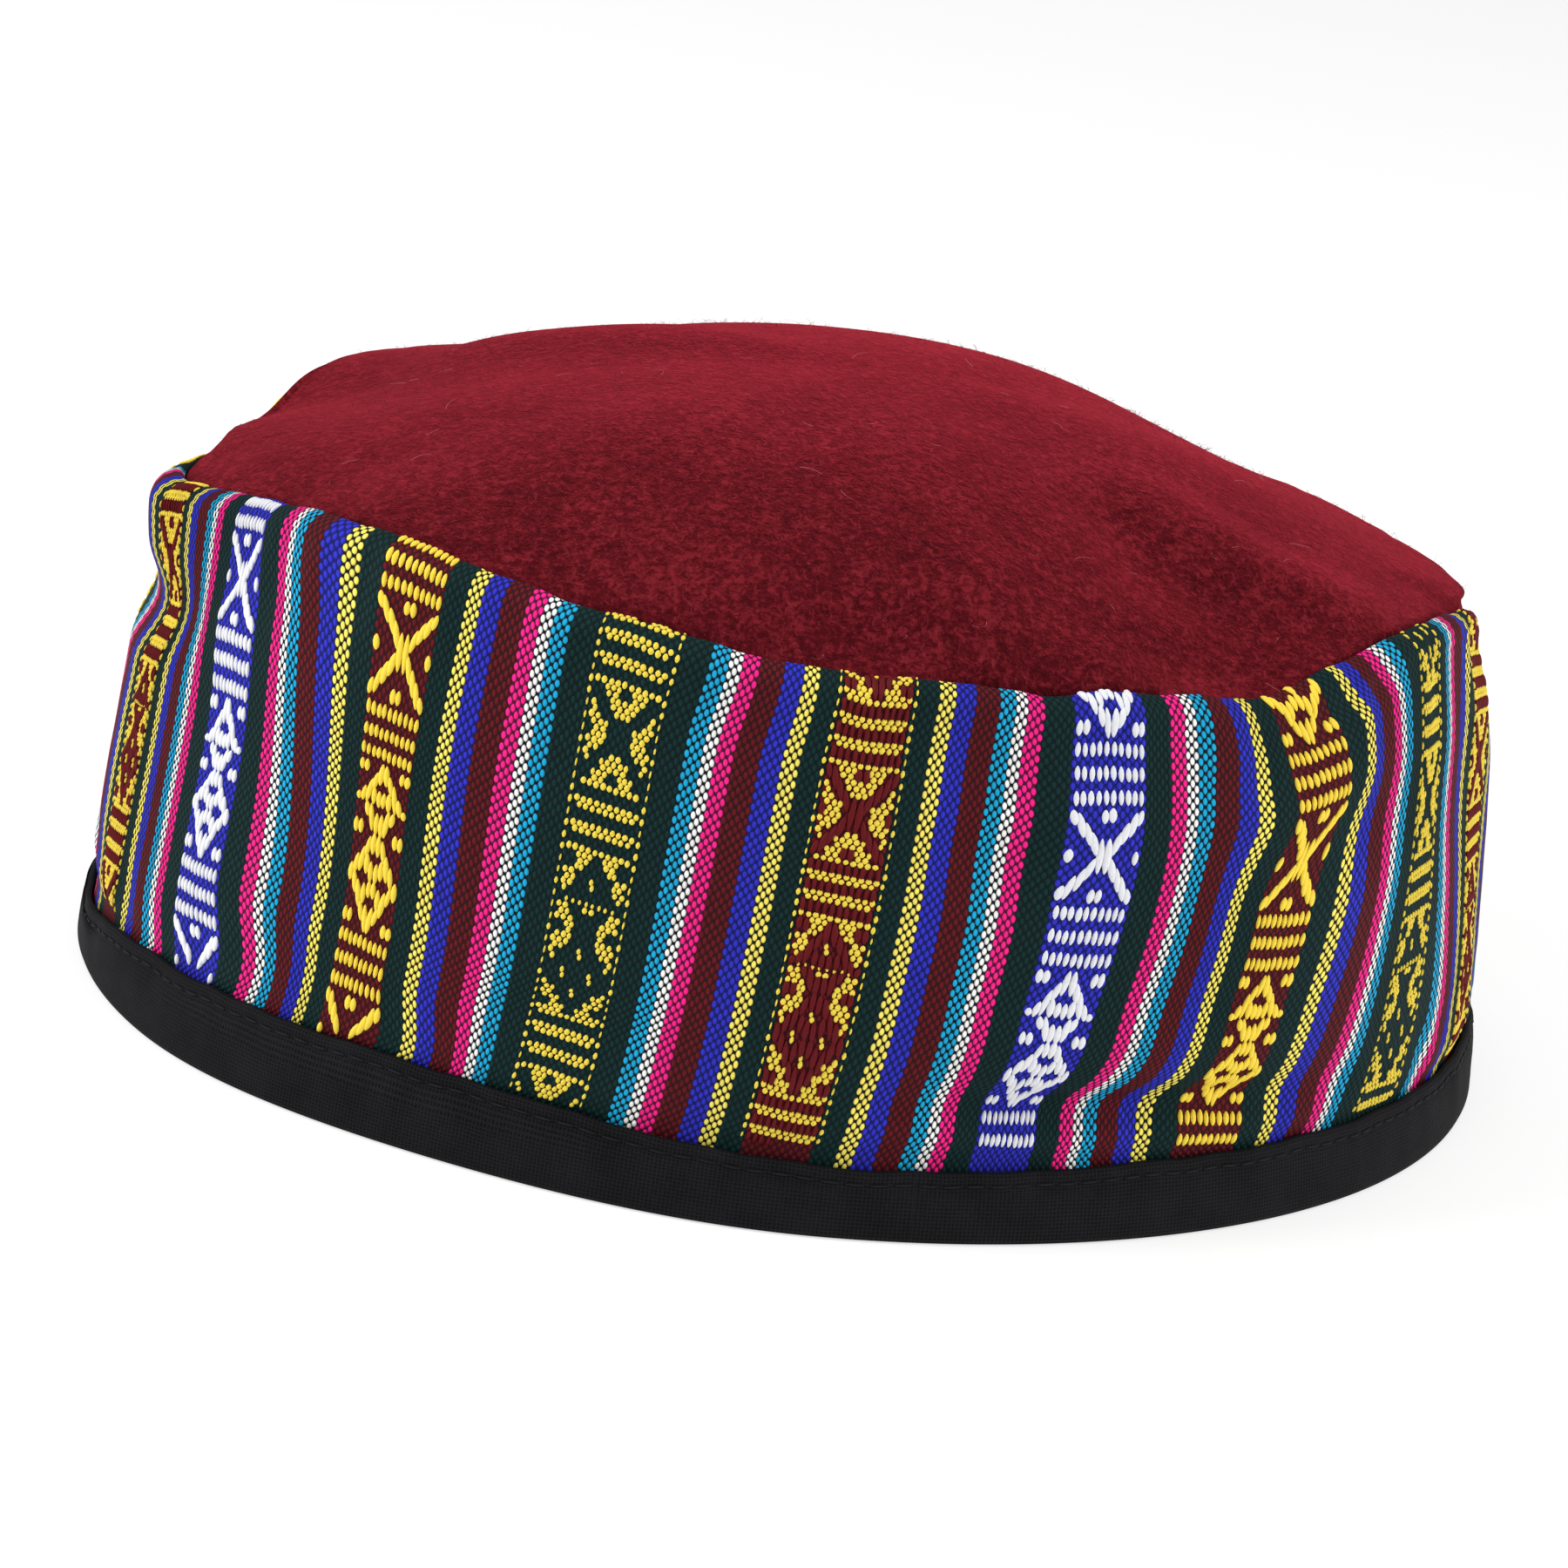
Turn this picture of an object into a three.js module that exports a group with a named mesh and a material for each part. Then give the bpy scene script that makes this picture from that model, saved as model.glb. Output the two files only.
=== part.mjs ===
// A soft brimless smoking cap: a felt crown, a padded striped side band and a cotton rim binding.
// Millimetres, +Z up. The cap rests on its rim at z = 0; its long axis lies along Y, front at -Y.
import * as THREE from "three";

// ---- driving dimensions ----
const RIM = { halfLong: 103.2, halfWide: 86.2, x: 0, y: 0 };          // outside of the tape, at the ground
const SEAM = { halfLong: 88, halfWide: 76, x: -3, y: -1.5 };          // where felt and band meet
const SEAM_HEIGHT = 71.5;
const WALL = 3;               // padded cloth of the side band
const FELT = 2;               // wool felt of the crown
const TAPE = 1.1;             // folded cotton tape
const TAPE_HEIGHT = 10.6;
const TAPE_INSIDE = 9.6;      // its height inside the cap
const TAPE_BELLY = 0.1;       // the tape swells a little at half height
const TAPE_EDGE = 0.5;        // rounding of its upper edge
const GAP = 0.3;              // clearance between neighbouring pieces
const SOLE = 0.9;             // how far the flat sole of the tape stays inside its two faces
const LIP = 3.6;              // how far the band's rolled top stands out past the seam
const LIP_RISE = 1.4;         // and above it
const SKIRT = 5;              // felt turned down inside the band
const DOME_RISE = 21.5;
const DOME_TOP = { x: -4, y: 6 };
const DOME_POWER = 2.7;       // fullness of the felt between its ridges
const AROUND = 88;            // steps round the head opening

// Corners of the top edge, a row each. Angle is degrees round from +X, width the half width in
// degrees; out and up are how far the edge is pushed out and lifted (mm).
const EDGE_CORNERS = [
  { name: "front tip", angle: 275, width: 9, out: 5.8, up: 0 },
  { name: "front near shoulder", angle: 308, width: 20, out: 0, up: 3 },
  { name: "near middle", angle: 345, width: 18, out: 0, up: 1.6 },
  { name: "back near corner", angle: 33, width: 20, out: -1, up: -3 },
  { name: "back tip", angle: 82, width: 10, out: 4, up: -0.5 },
  { name: "front far corner", angle: 226, width: 10, out: 2.5, up: 2 },
  { name: "front far hollow", angle: 250, width: 10, out: -1.2, up: -1 },
  { name: "far side", angle: 150, width: 50, out: -0.5, up: -3 },
];

// Where the rim leaves its oval (mm).
const RIM_STRETCHES = [
  { name: "front near hollow", angle: 322, width: 16, out: -2.4 },
];

// Folds of the side wall, a row each. Level is the height up the band, 0 at the rim and 1 at the
// seam; tall is the half height in the same measure; out is how far the cloth stands out (mm).
const WALL_FOLDS = [
  { name: "front pinch", angle: 268, width: 14, level: 0.84, tall: 0.1, out: -1.6 },
  { name: "near hollow", angle: 318, width: 22, level: 0.35, tall: 0.2, out: -1.4 },
  { name: "near bulge", angle: 350, width: 24, level: 0.32, tall: 0.25, out: 1.4 },
  { name: "slump crease", angle: 14, width: 18, level: 0.26, tall: 0.08, out: -2 },
  { name: "back near bulge", angle: 30, width: 18, level: 0.62, tall: 0.25, out: 2 },
  { name: "back pinch", angle: 62, width: 16, level: 0.48, tall: 0.25, out: -1.2 },
];
const FOLDS_START = { level: 0.16, full: 0.28 };    // the tape holds the cloth flat below this

// Section of the band: how far its two faces stand out from the straight wall line (mm).
const TUCKED = -(TAPE + GAP);                       // the face that lies inside the tape
const OUTER_FACE = [
  { level: 0.024, out: TUCKED },
  { level: 0.155, out: TUCKED },
  { level: 0.2, out: 0.1 },
  { level: 0.3, out: 0.9 },
  { level: 0.42, out: 1.3 },
  { level: 0.55, out: 1.5 },
  { level: 0.68, out: 1.4 },
  { level: 0.8, out: 1 },
  { level: 0.89, out: 0.4 },
];
const INNER_FACE = [
  { level: 0.82, out: -WALL },
  { level: 0.64, out: 1.4 - WALL },
  { level: 0.42, out: 1.3 - WALL },
  { level: 0.28, out: 0.6 - WALL },
  { level: 0.17, out: TUCKED - WALL },
  { level: 0.024, out: TUCKED - WALL },
];
const LIP_STEPS = 4;

// The tape stands a little taller or lower along the rim, a row for each stretch.
const TAPE_STRETCHES = [
  { name: "front near", angle: 318, width: 24, up: 1.4 },
  { name: "near middle", angle: 352, width: 16, up: -1.2 },
];

// Ridges of the dome run from its middle to the corners of its edge. Where the power is taken
// down the felt falls straight to the corner, like a tent.
const DOME_RIDGES = [
  { name: "to the front tip", angle: 264, width: 24, power: -0.7 },
  { name: "to the front far corner", angle: 222, width: 20, power: -0.3 },
  { name: "to the back tip", angle: 92, width: 38, power: -1 },
  { name: "to the back near corner", angle: 30, width: 22, power: -0.5 },
];
const DOME_EDGE = { rise: 0.8, share: 0.985 };      // where the felt comes out of the seam
const DOME_RINGS = [0.93, 0.85, 0.75, 0.63, 0.49, 0.33, 0.16];
const DOME_INNER_RINGS = [0.3, 0.56, 0.77, 0.93];
const FELT_UPRIGHT = 1.2 * FELT;                    // the sloping felt, measured straight down

// ---- measures round the cap ----

const rad = (degrees) => (degrees * Math.PI) / 180;

// 1 at the middle, a half at one width from it, 0 at two.
function hump(away, width) {
  const widths = Math.abs(away) / width;
  return widths >= 2 ? 0 : Math.cos((widths * Math.PI) / 4) ** 2;
}

function hump_round(degrees, row) {
  return hump(((degrees - row.angle + 540) % 360) - 180, row.width);
}

function sum(rows, value) {
  return rows.reduce((total, row) => total + value(row), 0);
}

// A point of an oval, pushed out square to it.
function on_oval(degrees, { halfLong, halfWide, x, y }, out) {
  const c = Math.cos(rad(degrees));
  const s = Math.sin(rad(degrees));
  const outward = new THREE.Vector2(c / halfWide, s / halfLong).normalize();
  return new THREE.Vector2(x + halfWide * c, y + halfLong * s).addScaledVector(outward, out);
}

function seam_point(degrees, out) {
  return on_oval(degrees, SEAM, out + sum(EDGE_CORNERS, (row) => row.out * hump_round(degrees, row)));
}

function seam_height(degrees) {
  return SEAM_HEIGHT + sum(EDGE_CORNERS, (row) => row.up * hump_round(degrees, row));
}

function rim_point(degrees, out) {
  return on_oval(degrees, RIM, out + sum(RIM_STRETCHES, (row) => row.out * hump_round(degrees, row)));
}

// The straight wall line runs from the rim to the lip over the seam.
function wall_point(degrees, level, out) {
  const at = rim_point(degrees, out).lerp(seam_point(degrees, LIP + out), level);
  return [at.x, at.y, level * seam_height(degrees)];
}

function fold_depth(degrees, level) {
  const free = THREE.MathUtils.smoothstep(level, FOLDS_START.level, FOLDS_START.full);
  return free * sum(WALL_FOLDS, (row) => {
    return row.out * hump_round(degrees, row) * hump(level - row.level, row.tall);
  });
}

function dome_height(degrees, share) {
  const power = DOME_POWER + sum(DOME_RIDGES, (row) => row.power * hump_round(degrees, row));
  const edge = (seam_height(degrees) - SEAM_HEIGHT) * share ** 2;
  return SEAM_HEIGHT + DOME_EDGE.rise + edge + DOME_RISE * (1 - share ** power);
}

// ---- shells from rings ----

function ring(point) {
  return Array.from({ length: AROUND }, (_, i) => point((360 * i) / AROUND));
}

// Faces between rings that follow a section from outside, over the top, to the inside.
function between(ringCount, closed) {
  const faces = [];
  for (let i = 0; i < (closed ? ringCount : ringCount - 1); i++) {
    const low = i * AROUND;
    const high = ((i + 1) % ringCount) * AROUND;
    for (let j = 0; j < AROUND; j++) {
      const k = (j + 1) % AROUND;
      faces.push([low + j, low + k, high + k], [low + j, high + k, high + j]);
    }
  }
  return faces;
}

function solid(points, faces) {
  const shape = new THREE.BufferGeometry();
  shape.setAttribute("position", new THREE.Float32BufferAttribute(points.flat(), 3));
  shape.setIndex(faces.flat());
  shape.computeVertexNormals();
  return shape;
}

// ---- the pieces ----

function side_band() {
  const rings = OUTER_FACE.map(({ level, out }) => {
    return ring((a) => wall_point(a, level, out + fold_depth(a, level)));
  });
  for (let i = 0; i <= LIP_STEPS; i++) {
    const turn = rad((90 * i) / LIP_STEPS);
    rings.push(ring((a) => {
      const at = seam_point(a, LIP * Math.cos(turn));
      return [at.x, at.y, seam_height(a) + LIP_RISE - LIP * (1 - Math.sin(turn))];
    }));
  }
  rings.push(ring((a) => [...seam_point(a, 0), seam_height(a) - SKIRT]));
  for (const { level, out } of INNER_FACE) {
    rings.push(ring((a) => wall_point(a, level, out + fold_depth(a, level))));
  }
  return solid(rings.flat(), between(rings.length, true));
}

function rim_binding() {
  const inner = -(2 * TAPE + 2 * GAP + WALL);
  const section = [
    { out: -SOLE, up: 0 },
    { out: 0, up: SOLE },
    { out: TAPE_BELLY, up: TAPE_HEIGHT / 2 },
    { out: 0, up: TAPE_HEIGHT - TAPE_EDGE, tall: true },
    { out: -TAPE / 2, up: TAPE_HEIGHT, tall: true },
    { out: -TAPE, up: TAPE_HEIGHT - TAPE_EDGE, tall: true },
    { out: -TAPE, up: TAPE },
    { out: inner + TAPE, up: TAPE },
    { out: inner + TAPE, up: TAPE_INSIDE, tall: true },
    { out: inner, up: TAPE_INSIDE, tall: true },
    { out: inner, up: SOLE },
    { out: inner + SOLE, up: 0 },
  ];
  const rings = section.map(({ out, up, tall }) => ring((a) => {
    const stretch = tall ? sum(TAPE_STRETCHES, (row) => row.up * hump_round(a, row)) : 0;
    const [x, y] = wall_point(a, (up + stretch) / seam_height(a), out);
    return [x, y, up + stretch];
  }));
  return solid(rings.flat(), between(rings.length, true));
}

function crown() {
  const { x, y } = DOME_TOP;
  const dome_ring = (share, down) => ring((a) => {
    const edge = seam_point(a, -GAP);
    return [x + (edge.x - x) * share, y + (edge.y - y) * share, dome_height(a, share) - down];
  });
  const edge_ring = (out, up) => ring((a) => [...seam_point(a, out), seam_height(a) + up]);
  const rings = [
    ...DOME_INNER_RINGS.map((share) => dome_ring(share, FELT_UPRIGHT)),
    edge_ring(-GAP - FELT, DOME_EDGE.rise - FELT),
    edge_ring(-GAP - FELT, -SKIRT),
    edge_ring(-GAP, -SKIRT),
    edge_ring(-GAP, DOME_EDGE.rise),
    dome_ring(DOME_EDGE.share, 0),
    ...DOME_RINGS.map((share) => dome_ring(share, 0)),
  ];
  const points = [...rings.flat(), [x, y, dome_height(0, 0) - FELT_UPRIGHT], [x, y, dome_height(0, 0)]];
  const faces = between(rings.length, false);
  const [under, over] = [points.length - 2, points.length - 1];
  const topRing = (rings.length - 1) * AROUND;
  for (let j = 0; j < AROUND; j++) {
    const k = (j + 1) % AROUND;
    faces.push([under, k, j], [over, topRing + j, topRing + k]);
  }
  return solid(points, faces);
}

// ---- the assembly ----

const FINISHES = {
  crown: { color: 0x76161f, roughness: 0.95, metalness: 0 },
  side_band: { color: 0x1d4a44, roughness: 0.85, metalness: 0 },
  rim_binding: { color: 0x151719, roughness: 0.9, metalness: 0 },
};

const group = new THREE.Group();
for (const [name, make] of Object.entries({ crown, side_band, rim_binding })) {
  const mesh = new THREE.Mesh(make(), new THREE.MeshStandardMaterial(FINISHES[name]));
  mesh.name = name;
  group.add(mesh);
}
export default group;
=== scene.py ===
"""A smoking cap: a felt crown, a side band of striped cloth with woven figures, and a cotton tape
round the rim. Shapes are worked out in millimetres and made in metres."""

import math

import bpy
import numpy as np
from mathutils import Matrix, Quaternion, Vector


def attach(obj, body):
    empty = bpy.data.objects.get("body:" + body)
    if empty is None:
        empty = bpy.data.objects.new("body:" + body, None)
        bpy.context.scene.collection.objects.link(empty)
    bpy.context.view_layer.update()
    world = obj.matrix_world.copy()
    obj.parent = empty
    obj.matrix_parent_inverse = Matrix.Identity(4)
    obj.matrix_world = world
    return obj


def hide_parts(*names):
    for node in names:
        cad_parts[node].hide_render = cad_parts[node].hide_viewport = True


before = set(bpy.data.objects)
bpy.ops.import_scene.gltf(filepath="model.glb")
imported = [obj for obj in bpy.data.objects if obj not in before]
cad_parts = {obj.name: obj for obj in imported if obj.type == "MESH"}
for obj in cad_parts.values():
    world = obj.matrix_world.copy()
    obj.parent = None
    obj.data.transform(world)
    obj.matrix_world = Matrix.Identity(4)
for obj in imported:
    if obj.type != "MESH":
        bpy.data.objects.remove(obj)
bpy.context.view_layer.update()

MM = 0.001

# ---- driving dimensions, which the solids share (mm and degrees) ----

RIM = {"half_long": 103.2, "half_wide": 86.2, "x": 0.0, "y": 0.0}    # outside of the tape
SEAM = {"half_long": 88.0, "half_wide": 76.0, "x": -3.0, "y": -1.5}  # where felt and band meet
RIM_LENGTH = 590.0
SEAM_HEIGHT = 71.5
WALL = 3.0  # padded cloth of the side band
FELT = 2.0
FELT_UPRIGHT = 1.2 * FELT  # the sloping felt, measured straight down
TAPE = 1.1
TAPE_HEIGHT = 10.6
TAPE_INSIDE = 9.6  # its height inside the cap
GAP = 0.3          # clearance between neighbouring pieces
SOLE = 0.9         # how far the tape's flat sole stays inside its two faces
LIP = 3.6          # how far the band's rolled top stands out past the seam
LIP_RISE = 1.4     # and above it
SKIRT = 5.0        # felt turned down inside the band
DOME_RISE = 21.5
DOME_TOP = (-4.0, 6.0)
DOME_POWER = 2.7  # fullness of the felt between its ridges
EDGE_RISE = 0.8   # height above the seam where the felt comes out of it

# angle, width, out, up
EDGE_CORNERS = (
    (275, 9, 5.8, 0),     # front tip
    (308, 20, 0, 3),      # front near shoulder
    (345, 18, 0, 1.6),    # near middle
    (33, 20, -1, -3),     # back near corner
    (82, 10, 4, -0.5),    # back tip
    (226, 10, 2.5, 2),    # front far corner
    (250, 10, -1.2, -1),  # front far hollow
    (150, 50, -0.5, -3),  # far side
)
# angle, width, out
RIM_STRETCHES = ((322, 16, -2.4),)
# angle, width, level, tall, out
WALL_FOLDS = (
    (268, 14, 0.84, 0.1, -1.6),  # front pinch
    (318, 22, 0.35, 0.2, -1.4),  # near hollow
    (350, 24, 0.32, 0.25, 1.4),  # near bulge
    (14, 18, 0.26, 0.08, -2),    # slump crease
    (30, 18, 0.62, 0.25, 2),     # back near bulge
    (62, 16, 0.48, 0.25, -1.2),  # back pinch
)
FOLDS_START = (0.16, 0.28)  # levels between which they set in, above the tape
WALL_FOOT = 0.024           # level of the wall's lower edge, inside the tape
TUCKED = -(TAPE + GAP)      # the face that lies inside the tape
# level, out: the band's two faces, close to the solid's, from the line between rim and seam
OUTER_FACE = (
    (WALL_FOOT, TUCKED), (0.15, TUCKED), (0.2, 0.1), (0.3, 0.9), (0.42, 1.3),
    (0.55, 1.5), (0.68, 1.4), (0.8, 1), (0.89, 0.4), (1.0, 0.0),
)
INNER_FACE = (
    (WALL_FOOT, TUCKED - WALL), (0.17, TUCKED - WALL), (0.28, 0.6 - WALL), (0.42, 1.3 - WALL),
    (0.64, 1.4 - WALL), (0.82, -WALL), (0.92, -WALL),
)
# angle, width, up
TAPE_STRETCHES = ((318, 24, 1.4), (352, 16, -1.2))
# angle, width, power: ridges that run from the dome's middle to the corners of its edge
DOME_RIDGES = ((264, 24, -0.7), (222, 20, -0.3), (92, 38, -1.0), (30, 22, -0.5))

# ---- soft forms of the cloth, which the solids leave out ----

# angle, width, share of the way out, spread, out, up: the felt's own soft bulges and hollows
FELT_SHAPE = (
    (234, 13, 0.92, 0.12, -0.8, -1.8),  # front far hollow
    (246, 10, 0.95, 0.08, -1.0, -1.4),
    (222, 14, 0.78, 0.18, 0, -1.0),
    (117, 16, 0.8, 0.2, 0, -1.2),  # back far slope
    (95, 9, 0.95, 0.06, -1.2, -0.4),
    (4, 5, 0.84, 0.12, 0, 1.5),  # soft ridges and hollows on the near slope
    (13, 5, 0.95, 0.05, 0, 0.9),
    (352, 7, 0.94, 0.05, 0, -0.9),
    (26, 7, 0.94, 0.06, 0, -1.1),
    (29, 6, 0.68, 0.12, 0, -1.5),
    (38, 5, 0.86, 0.1, 0, -1.6),
    (46, 6, 0.7, 0.16, 0, 1.5),
    (52, 5, 0.88, 0.08, 0, 1.0),
    (318, 14, 0.8, 0.14, 0, -0.6),
)
FELT_SETTLE = 0.8  # how far the top sinks under its own weight
# angle, width, up: the sewn edge's own rises and dips
SEAM_LIFT = (
    (309, 16, 2.5), (350, 7, -0.8), (18, 9, 1.8), (48, 14, 4.6), (84, 6, -1.6),
    (8, 3, -0.7), (30, 4, -0.8), (334, 5, 0.5), (271, 8, -1.3),
)
# angle, width, level, tall, out: the wall's own soft folds
SOFT_FOLDS = (
    (270, 16, 0.55, 0.25, -1.5),
    (275, 8, 0.93, 0.12, 1.3),
    (79, 10, 0.98, 0.08, -1.2),
    (3, 5, 0.71, 0.06, -1.5),  # dent left of the near panel
    (1, 5, 0.88, 0.12, -2.0),
    (277, 8, 0.78, 0.06, -2.2),  # front pinch
    (12, 6, 0.8, 0.08, 0.8),
    (38, 7, 0.73, 0.06, -1.2),
    (36, 8, 0.85, 0.08, 1.0),
    (16, 15, 0.265, 0.035, -1.8),  # crease above the tape
    (14, 15, 0.36, 0.07, 1.0),
    (16, 14, 0.2, 0.04, 0.5),
)
SOFT_START = (0.15, 0.22)   # levels between which these folds set in
LIFT_LEVELS = (0.35, 0.95)  # levels between which the wall comes to follow the sewn edge
# angle, width, up: where the tape's upper edge is drawn down further
TAPE_DIPS = ((268, 12, -2.0), (262, 9, -2.2))
SEWN_IN = 0.3                  # the skirt is pressed into the band's roll, so no light gets through
FAR_SIDE = (66, 88, 254, 274)  # angles between which the roll sinks behind the felt
FAR_SINK = 3.2                 # how far it sinks there,
FAR_PULL = 2.6                 # how far it is drawn in
FAR_PULL_LEVELS = (0.7, 0.95)
FELT_REACH = 4.6  # and how far the felt reaches out over it
FELT_REACH_SHARES = (0.82, 0.94, 0.96, 1.0)

# Small uneven waves: how many round the cap, where they start and their size. The counts share
# no factor.
SEAM_GATHERS = ((29, 0.4, 0.22), (43, 2.1, 0.18), (67, 4.0, 0.12), (97, 1.0, 0.08))
TAPE_GATHERS = ((31, 1.9, 0.16), (53, 0.7, 0.14), (83, 3.3, 0.08))
SOFT_WAVES = ((9, 0.5, 0.22), (14, 2.7, 0.16))
TAPE_WAVES = ((23, 0.2, 0.08), (41, 1.5, 0.07), (71, 2.2, 0.05))
FELT_WAVES = ((5, 0.8, 0.15), (8, 2.0, 0.09))
# levels where they start and are full, and where they fade and end
SEAM_GATHERED = (0.72, 0.97)
TAPE_GATHERED = (0.15, 0.2, 0.2, 0.34)
SOFT_WAVED = (0.2, 0.4, 0.8, 1.0)
SOFT_WAVE_TWIST = 25  # degrees that they turn from the rim to the seam
FELT_GATHER = 0.35    # share of the seam's gathers that the felt takes up,
LIP_GATHER = 0.5      # that the roll of the band takes up,
LIP_TURN = 3          # and how many degrees on they lie there
TAPE_GATHER = 0.5     # share of the cloth's gathers that the tape's face takes up,
TAPE_TURN = 40        # and how many degrees on they lie there

# ---- the striped cloth (mm) ----

BAND_TALL = 72.0     # cloth from the rim to the seam
PANEL_EVERY = 31.08  # a figured panel from the next
THREADS = 55.5       # warp threads from one panel to the next
THREAD = PANEL_EVERY / THREADS
BEAD_TALL = 1.4  # one bead of a thread from the next
BEAD_HALF_WIDE = 0.31
BEAD_HALF_TALL = 0.49
PANELS = "CDAB"      # white on blue, gold on maroon, green on yellow, maroon on yellow
FIRST_PANEL = 111.0  # the cloth's own place where angle 0 meets the first row
LEAN = 8.0           # how far its stripes lean, because the strip is cut off its grain
JOIN = 174.0         # where the two ends of the strip are sewn together
# length round the rim from angle 0, and how much higher the woven rows lie there
ROW_RISE = (
    (-320, 0), (-220, 3.5), (-150, 7), (-108, 7.5), (-77, 4.9), (-46, 4.2), (-15, 1), (14, -2),
    (46, -2.3), (62, -4.4), (78, -4.2), (130, -2), (200, 0), (320, 0),
)
# angle, width, level where it starts, level where it is full, how much cloth is bunched up
BUNCHES = (
    (288, 14, 0.62, 0.42, 1.5),
    (311, 10, 0.76, 0.58, 3.0),
    (333, 12, 0.4, 0.3, 2.0),
    (352, 10, 0.74, 0.62, 1.0),
    (352, 10, 0.42, 0.25, -2.0),
    (14, 14, 0.46, 0.18, 3.1),
    (34, 8, 0.36, 0.24, 0.5),
    (44, 9, 0.72, 0.45, 1.4),
)
# angle, width, level, tall, shift: where the cloth is pulled sideways
SWAY = (
    (272, 11, 0.98, 0.3, -14.0),
    (258, 14, 0.98, 0.3, -10.0),
    (242, 16, 0.98, 0.3, -6.5),
    (225, 16, 0.98, 0.3, -3.0),
    (275, 7, 0.45, 0.45, -5.5),
    (264, 12, 0.45, 0.45, -4.5),
    (249, 15, 0.45, 0.45, -2.5),
    (269, 7, 0.15, 0.25, -3.5),
    (257, 12, 0.15, 0.25, -2.5),
    (287, 5, 0.78, 0.06, 2.0),
    (290, 5, 0.17, 0.05, -2.2),
    (289, 5, 1.0, 0.3, 2.3),
    (294, 6, 0.38, 0.15, 2.5),
    (297, 5, 0.97, 0.07, 2.0),
    (303, 7, 1.0, 0.3, 3.2),
    (302, 6, 0.2, 0.08, -3.2),
    (308, 6, 0.6, 0.5, -1.3),
    (319, 6, 0.75, 0.22, 1.0),
    (319, 5, 0.18, 0.06, -2.0),
    (342, 6, 1.0, 0.08, -1.2),
    (358, 5, 0.72, 0.4, -1.0),
    (20, 7, 0.75, 0.2, -1.0),
    (28, 5, 0.96, 0.06, -2.7),
    (32, 6, 0.97, 0.1, 3.0),
    (31, 7, 0.83, 0.1, -4.5),
    (43, 5, 1.03, 0.06, 6.0),
    (56, 10, 1.0, 0.12, 3.0),
    (285, 16, 0.3, 0.35, -5.0),
    (16, 10, 0.68, 0.25, -3.2),
    (16, 8, 0.2, 0.1, 3.3),
    (44, 10, 0.75, 0.4, -8.0),
    (60, 8, 0.42, 0.15, -6.5),
    (58, 5, 0.3, 0.1, -2.6),
    (57, 5, 0.72, 0.1, 1.2),
)
LIP_START = BAND_TALL * 0.969  # height on the cloth where the wall rolls over
LIP_ARC = 5.2                  # cloth over the roll
LIP_END = LIP_START + LIP_ARC
LIP_GATHERED = (LIP_START * 0.9, LIP_END, LIP_END, LIP_END + 1.5)
CORNER = 0.7  # rounding at the inner side of the roll
CORNER_ARC = CORNER * math.pi / 2


# ---- shapes ----

def hump(away, width):
    """1 at the middle, a half at one width from it, 0 at two."""
    widths = np.minimum(np.abs(away) / width, 2.0)
    return np.cos(widths * math.pi / 4) ** 2


def round_hump(angle, middle, width):
    return hump((angle - middle + 540) % 360 - 180, width)


def ease(value, start, full):
    share = np.clip((value - start) / (full - start), 0, 1)
    return share * share * (3 - 2 * share)


def rise_and_fall(value, starts, full, fades, ends):
    """0 up to starts, 1 from full to fades and 0 again from ends."""
    return ease(value, starts, full) * (1 - ease(value, fades, ends))


def swell(angle, rows):
    """What rows of angle, width and size come to at an angle."""
    return sum(size * round_hump(angle, middle, width) for middle, width, size in rows)


def patches(angle, level, rows):
    """What rows of angle, width, level, tall and size come to at a place."""
    return sum(
        size * round_hump(angle, middle, width) * hump(level - high, tall)
        for middle, width, high, tall, size in rows
    )


def ripple(angle, waves):
    """Rows of count, start and size, as waves round the cap."""
    return sum(size * np.sin(np.radians(angle) * count + start) for count, start, size in waves)


def smooth_table(rows, steps=400, blur=9):
    """A short table of places and values, read as a soft curve."""
    places = np.linspace(rows[0][0], rows[-1][0], steps)
    values = np.interp(places, [row[0] for row in rows], [row[1] for row in rows])
    padded = np.pad(values, blur, mode="edge")
    kernel = np.hanning(2 * blur + 3)[1:-1]
    return places, np.convolve(padded, kernel / kernel.sum(), mode="valid")


OUTER_CURVE = smooth_table(OUTER_FACE)
INNER_CURVE = smooth_table(INNER_FACE)
CORNERS_OUT = [(middle, width, out) for middle, width, out, _ in EDGE_CORNERS]
CORNERS_UP = [(middle, width, up) for middle, width, _, up in EDGE_CORNERS]
FELT_OUT = [(*row[:4], row[4]) for row in FELT_SHAPE]
FELT_UP = [(*row[:4], row[5]) for row in FELT_SHAPE]


def on_oval(angle, oval, out):
    """Across and along of a point of an oval that is pushed out square to it."""
    cosine, sine = np.cos(np.radians(angle)), np.sin(np.radians(angle))
    out_x, out_y = cosine / oval["half_wide"], sine / oval["half_long"]
    length = np.hypot(out_x, out_y)
    x = oval["x"] + oval["half_wide"] * cosine + out * out_x / length
    return x, oval["y"] + oval["half_long"] * sine + out * out_y / length


def seam_point(angle, out):
    return on_oval(angle, SEAM, out + swell(angle, CORNERS_OUT))


def seam_height(angle):
    return SEAM_HEIGHT + swell(angle, CORNERS_UP)


def rim_point(angle, out):
    return on_oval(angle, RIM, out + swell(angle, RIM_STRETCHES))


def wall_point(angle, level, out):
    low_x, low_y = rim_point(angle, out)
    high_x, high_y = seam_point(angle, LIP + out)
    x = low_x + (high_x - low_x) * level
    y = low_y + (high_y - low_y) * level
    return np.stack(np.broadcast_arrays(x, y, level * seam_height(angle)), -1)


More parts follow.
